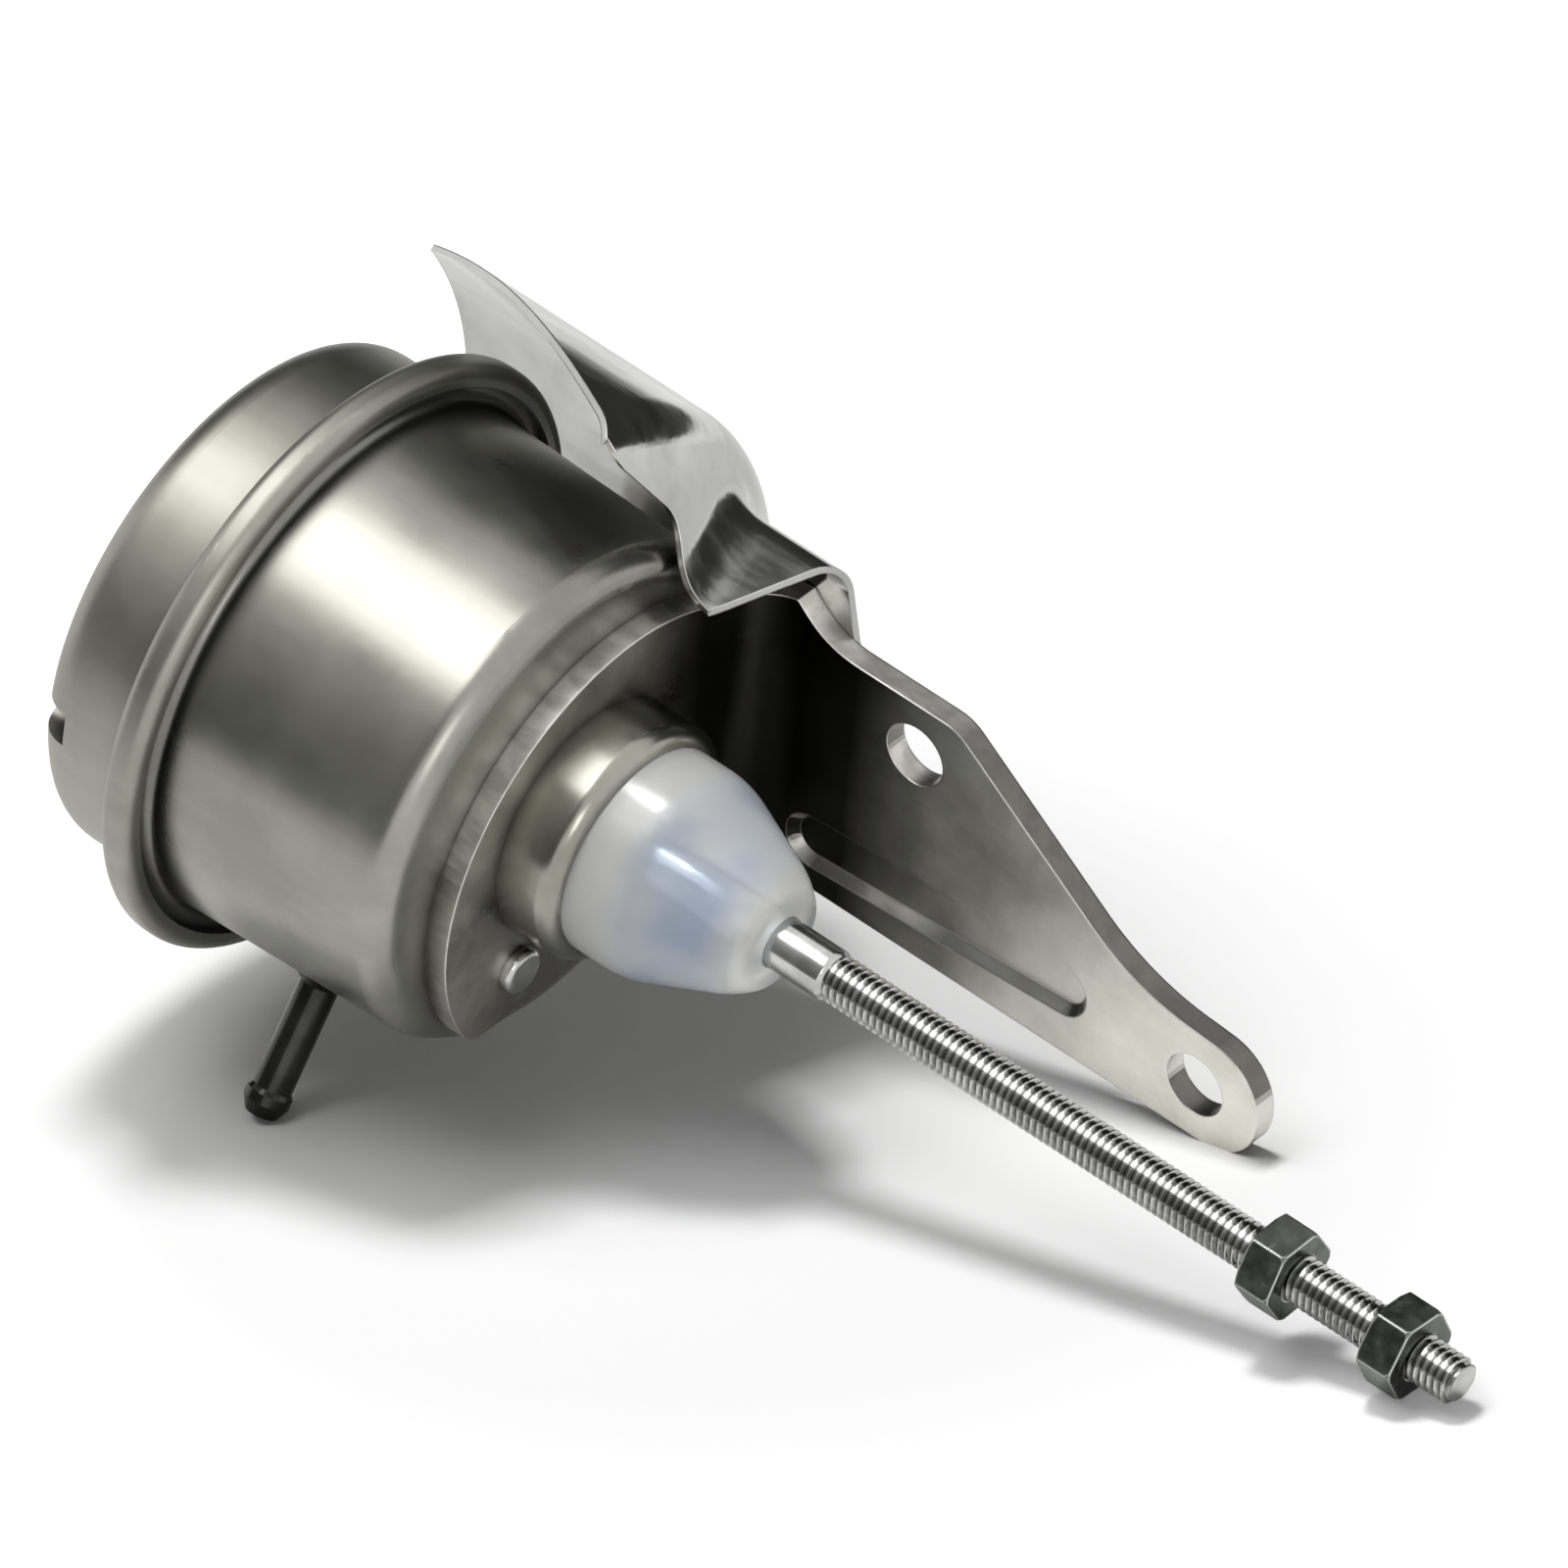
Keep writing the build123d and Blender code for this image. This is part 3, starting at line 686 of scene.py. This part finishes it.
# Return spring: round wire between the piston and the can's front, its ends ground flat
COIL_BACK = -5.5
COIL_FRONT = 32.9
COIL_R = 24.6
WIRE_R = 1.3
COIL_TURNS = 5.5
wire_section = [
    (COIL_BACK + WIRE_R*math.cos(turned), COIL_R + WIRE_R*math.sin(turned))
    for turned in (math.radians(angle) for angle in range(0, 361, 30))
]
spring = winding("coil_spring", wire_section, COIL_FRONT - COIL_BACK, COIL_TURNS, 36)
slice_off(spring, COIL_BACK, keep_front=True)
slice_off(spring, COIL_FRONT, keep_front=False)
bpy.ops.object.mode_set(mode="EDIT")
bpy.ops.mesh.select_all(action="DESELECT")
bpy.ops.mesh.select_mode(type="EDGE")
bpy.ops.mesh.select_non_manifold()
bpy.ops.mesh.fill_holes(sides=0)
bpy.ops.mesh.select_all(action="SELECT")
bpy.ops.mesh.normals_make_consistent(inside=False)
bpy.ops.object.mode_set(mode="OBJECT")
settle(spring, 40)
dress(spring, spring_steel)
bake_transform(spring)
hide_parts("return_spring")


# Diaphragm: a disc behind the piston, rolled back on itself and clamped in the rim
SKIN_BORE_R = 2.55
CLAMPED_R = 36.6

skin = spin_round(
    "rolling_diaphragm",
    (
        (-7.5, SKIN_BORE_R),
        (-7.5, 28.4),
        (4.9, 28.4),
        (4.9, 30.6),
        (-1.0, 30.6),
        (-1.0, CLAMPED_R),
        (-0.2, CLAMPED_R),
        (-0.2, 31.4),
        (5.7, 31.4),
        (5.7, 27.6),
        (-6.7, 27.6),
        (-6.7, SKIN_BORE_R),
    ),
    96,
)
settle(skin, 50)
dress(skin, diaphragm_rubber)
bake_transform(skin)
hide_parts("diaphragm")


# Finishes of the pieces that stay as the frame has them
for name, material in (
    ("rear_cover", cover_steel),
    ("front_can", canister_steel),
    ("hose_fitting", fitting_steel),
    ("piston_cup", inner_steel),
    ("backing_plate", inner_steel),
    ("piston_washer", inner_steel),
    ("spring_seat", inner_steel),
    ("adjuster_nut", nut_steel),
    ("lock_nut", nut_steel),
    ("collar", collar_steel),
    ("guide_bush", bush_bronze),
    ("rod_seal", seal_rubber),
    ("seal_retainer", inner_steel),
    ("bracket", bracket_steel),
    ("plate_rivet_left", rivet_steel),
    ("plate_rivet_right", rivet_steel),
    ("heat_shield", shield_steel),
):
    dress(nodes[name], material)


# Stage: the floor that the fitting's tip, the arm's end and the rod's tip stand on
FLOOR_POINTS = (
    Vector((16.3, -27.2, -44.5)),
    Vector((108.0, 33.0, -24.6)),
    Vector((163.0, 0.0, -5.8)),
)
FLOOR_RADIUS = 0.32
GLOW_MIDDLE = at(60, 0, -30)
WHITE = (1, 1, 1, 1)

floor_white = new_material("floor_white", (0.92, 0.92, 0.92), 0.0, 0.9, Emission_Color=WHITE)
off_middle = vector_math(floor_white, "DISTANCE", own_place(floor_white), GLOW_MIDDLE)
glow = ramp(floor_white, off_middle, 0.06, 0.2, 0.0, 0.45)
for_camera = add_node(floor_white, "ShaderNodeLightPath").outputs["Is Camera Ray"]
glow = math_node(floor_white, "MULTIPLY", for_camera, glow)
finish_with(floor_white, "Emission Strength", glow)


def set_out(piece, centre, up, scale, material):
    """Faces a flat piece of the studio up's way, centred on a point in millimetres."""
    facing = up.to_track_quat("Z", "X").to_matrix().to_4x4()
    piece.matrix_world = Matrix.Translation(at(*centre)) @ facing @ Matrix.Diagonal((*scale, 1, 1))
    bpy.ops.object.transform_apply(location=True, rotation=True, scale=True)
    dress(piece, material)


across_floor = (FLOOR_POINTS[1] - FLOOR_POINTS[0], FLOOR_POINTS[2] - FLOOR_POINTS[0])
floor_up = across_floor[0].cross(across_floor[1]).normalized()
under_part = Vector((70, 0, 0))
floor_centre = under_part + floor_up*(FLOOR_POINTS[0] - under_part).dot(floor_up)
bpy.ops.object.select_all(action="DESELECT")
bpy.ops.mesh.primitive_circle_add(vertices=96, radius=FLOOR_RADIUS, fill_type="NGON")
floor = bpy.context.object
floor.name = "studio_floor"
set_out(floor, floor_centre, floor_up, (1, 1), floor_white)

# Cards, seen in the can's and the shield's gloss only
CARD_DISTANCE = 800
CAN_MIDDLE = Vector((30.0, 0.0, 0.0))
card_dark = new_material("card_dark", (0.08, 0.08, 0.075), 0.0, 0.9)
card_grey = new_material("card_grey", (0.6, 0.6, 0.57), 0.0, 0.9)
for name, angle, length, height, material in (
    ("dark_card_behind", 21, 2.4, 0.85, card_dark),
    ("grey_card_in_front", 150, 1.2, 1.2, card_grey),
):
    turned = math.radians(angle)
    away = Vector((-0.45, math.cos(turned), math.sin(turned))).normalized()
    bpy.ops.object.select_all(action="DESELECT")
    bpy.ops.mesh.primitive_plane_add(size=1)
    card = bpy.context.object
    card.name = name
    set_out(card, CAN_MIDDLE + CARD_DISTANCE*away, -away, (height, length), material)
    card.visible_camera = False
    card.visible_diffuse = False
    card.visible_shadow = False
    card.visible_transmission = False


def studio_world():
    """White to the camera, in gloss and through clear parts, and a softer light on the rest."""
    soft_light = 0.12
    world = bpy.data.worlds.new("studio_world")
    bpy.context.scene.world = world
    world.use_nodes = True
    background = world.node_tree.nodes["Background"]
    background.inputs["Color"].default_value = WHITE
    path = add_node(world, "ShaderNodeLightPath").outputs
    seen = math_node(world, "MAXIMUM", path["Is Camera Ray"], path["Is Glossy Ray"])
    seen = math_node(world, "MAXIMUM", seen, path["Is Transmission Ray"])
    link(world, ramp(world, seen, 0, 1, soft_light, 1), background.inputs["Strength"])


studio_world()


def softbox(name, direction, distance, aim, width, height, watts):
    """A rectangular lamp that faces a point given in millimetres, from a direction off it."""
    place = Vector(aim) + distance*Vector(direction).normalized()
    bpy.ops.object.select_all(action="DESELECT")
    bpy.ops.object.light_add(type="AREA", location=at(*place))
    lamp = bpy.context.object
    lamp.name = name
    lamp.data.shape = "RECTANGLE"
    lamp.data.size = width
    lamp.data.size_y = height
    lamp.data.energy = watts
    lamp.rotation_euler = (Vector(aim) - place).to_track_quat("-Z", "Y").to_euler()
    return lamp


softbox(
    "overhead_softbox",
    (-0.44, -0.2, 0.87),
    distance=900,
    aim=(30, 0, 0),
    width=0.65,
    height=0.56,
    watts=3.8,
)
softbox(
    "side_softbox",
    (0.7, -0.6, 0.5),
    distance=1100,
    aim=(60, 0, 0),
    width=0.35,
    height=0.35,
    watts=1.0,
)
shadow_lamp = softbox(
    "shadow_lamp",
    (-0.35, 0.12, 0.95),
    distance=1200,
    aim=(60, 0, -20),
    width=0.26,
    height=0.26,
    watts=8.0,
)
shadow_lamp.visible_glossy = False
